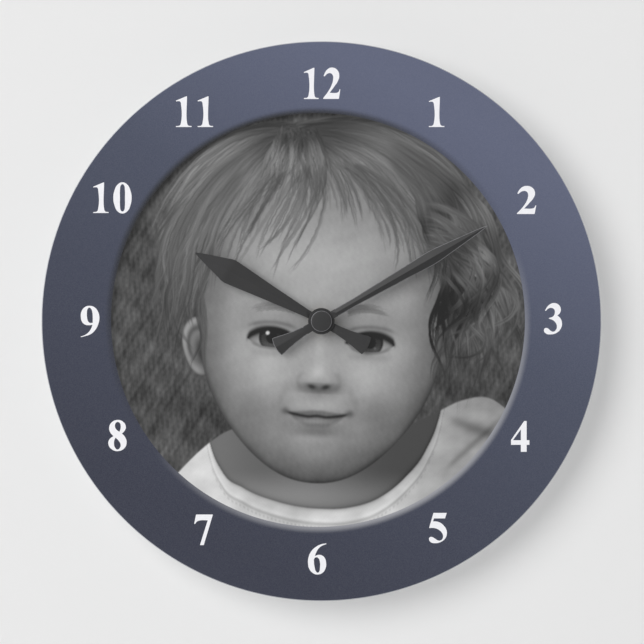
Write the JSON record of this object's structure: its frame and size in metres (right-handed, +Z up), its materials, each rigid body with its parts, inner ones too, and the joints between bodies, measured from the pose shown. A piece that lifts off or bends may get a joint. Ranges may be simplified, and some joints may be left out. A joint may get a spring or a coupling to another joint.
{
  "type": "photo wall clock",
  "caption": "Round frameless wall clock: printed acrylic dial with a photo centre, charcoal hands, and a battery quartz movement with a hanging loop behind it.",
  "frame": {"origin": "on the wall plane, where the axis of the hands meets the back of the movement", "axes": "+Z up towards twelve, +Y into the wall, so the dial faces -Y, and +X to the right of someone who reads the dial"},
  "size_m": [0.273, 0.0302, 0.273],
  "materials": {
    "dial_acrylic": "clear face over a print, polished edge",
    "hand_paint": "satin charcoal paint",
    "brass": "turned",
    "case_plastic": "fine moulded grain",
    "acetal": "natural, as moulded",
    "rubber": "dull",
    "steel": "nickel plated",
    "ferrite": "sintered, dark grey",
    "copper": "enamelled copper wire",
    "board": "solder mask",
    "resin": "cured drop",
    "cell_jacket": "sleeved steel can"
  },
  "bodies": {
    "case": {"dial_plate": "dial_acrylic", "rubber_washer": "rubber", "brass_washer": "brass", "fixing_nut": "brass", "front_case": "case_plastic", "rear_cover": "case_plastic", "middle_plate": "acetal", "stator": "steel", "coil_core": "steel", "coil_bobbin": "acetal", "coil_winding": "copper", "circuit_board": "board", "chip_drop": "resin", "crystal_can": "steel", "positive_contact": "steel", "negative_contact": "steel", "cell": "cell_jacket"},
    "minute": {"minute_arbor": "brass", "centre_wheel": "acetal", "clutch_washer": "steel", "minute_hand": "hand_paint", "hand_cap": "hand_paint"},
    "hour": {"hour_wheel": "acetal", "hour_hand": "hand_paint", "hour_hand_collar": "brass"},
    "motion": {"motion_wheel": "acetal"},
    "setting": {"setting_arbor": "acetal", "setting_knob": "case_plastic"},
    "third": {"third_wheel": "acetal"},
    "second": {"second_wheel": "acetal"},
    "intermediate": {"intermediate_wheel": "acetal"},
    "rotor": {"rotor_pinion": "acetal", "rotor_magnet": "ferrite"}
  },
  "joints": [
    {"name": "minute_spin", "type": "hinge", "parent": "case", "child": "minute", "pos_m": [0, 0, 0], "axis": [0, 1, 0], "continuous": true},
    {"name": "hour_spin", "type": "hinge", "parent": "case", "child": "hour", "pos_m": [0, 0, 0], "axis": [0, 1, 0], "continuous": true},
    {"name": "motion_spin", "type": "hinge", "parent": "case", "child": "motion", "pos_m": [-0.00724, 0, -0.00194], "axis": [0, 1, 0], "continuous": true},
    {"name": "setting_spin", "type": "hinge", "parent": "case", "child": "setting", "pos_m": [-0.01473, 0, -0.00246], "axis": [0, 1, 0], "continuous": true},
    {"name": "third_spin", "type": "hinge", "parent": "case", "child": "third", "pos_m": [-0.0051, 0, 0.00883], "axis": [0, 1, 0], "continuous": true},
    {"name": "second_spin", "type": "hinge", "parent": "case", "child": "second", "pos_m": [0, 0, 0], "axis": [0, 1, 0], "continuous": true},
    {"name": "intermediate_spin", "type": "hinge", "parent": "case", "child": "intermediate", "pos_m": [0.00987, 0, 0.00359], "axis": [0, 1, 0], "continuous": true},
    {"name": "rotor_spin", "type": "hinge", "parent": "case", "child": "rotor", "pos_m": [0.0122, 0, 0.01228], "axis": [0, 1, 0], "continuous": true}
  ],
  "couplings": [
    {"joint": "hour_spin", "follows": "minute_spin", "ratio": 0.083333},
    {"joint": "motion_spin", "follows": "minute_spin", "ratio": -0.33333},
    {"joint": "setting_spin", "follows": "minute_spin", "ratio": 1},
    {"joint": "third_spin", "follows": "minute_spin", "ratio": -8},
    {"joint": "second_spin", "follows": "minute_spin", "ratio": 60},
    {"joint": "intermediate_spin", "follows": "minute_spin", "ratio": -360},
    {"joint": "rotor_spin", "follows": "minute_spin", "ratio": 1800}
  ]
}
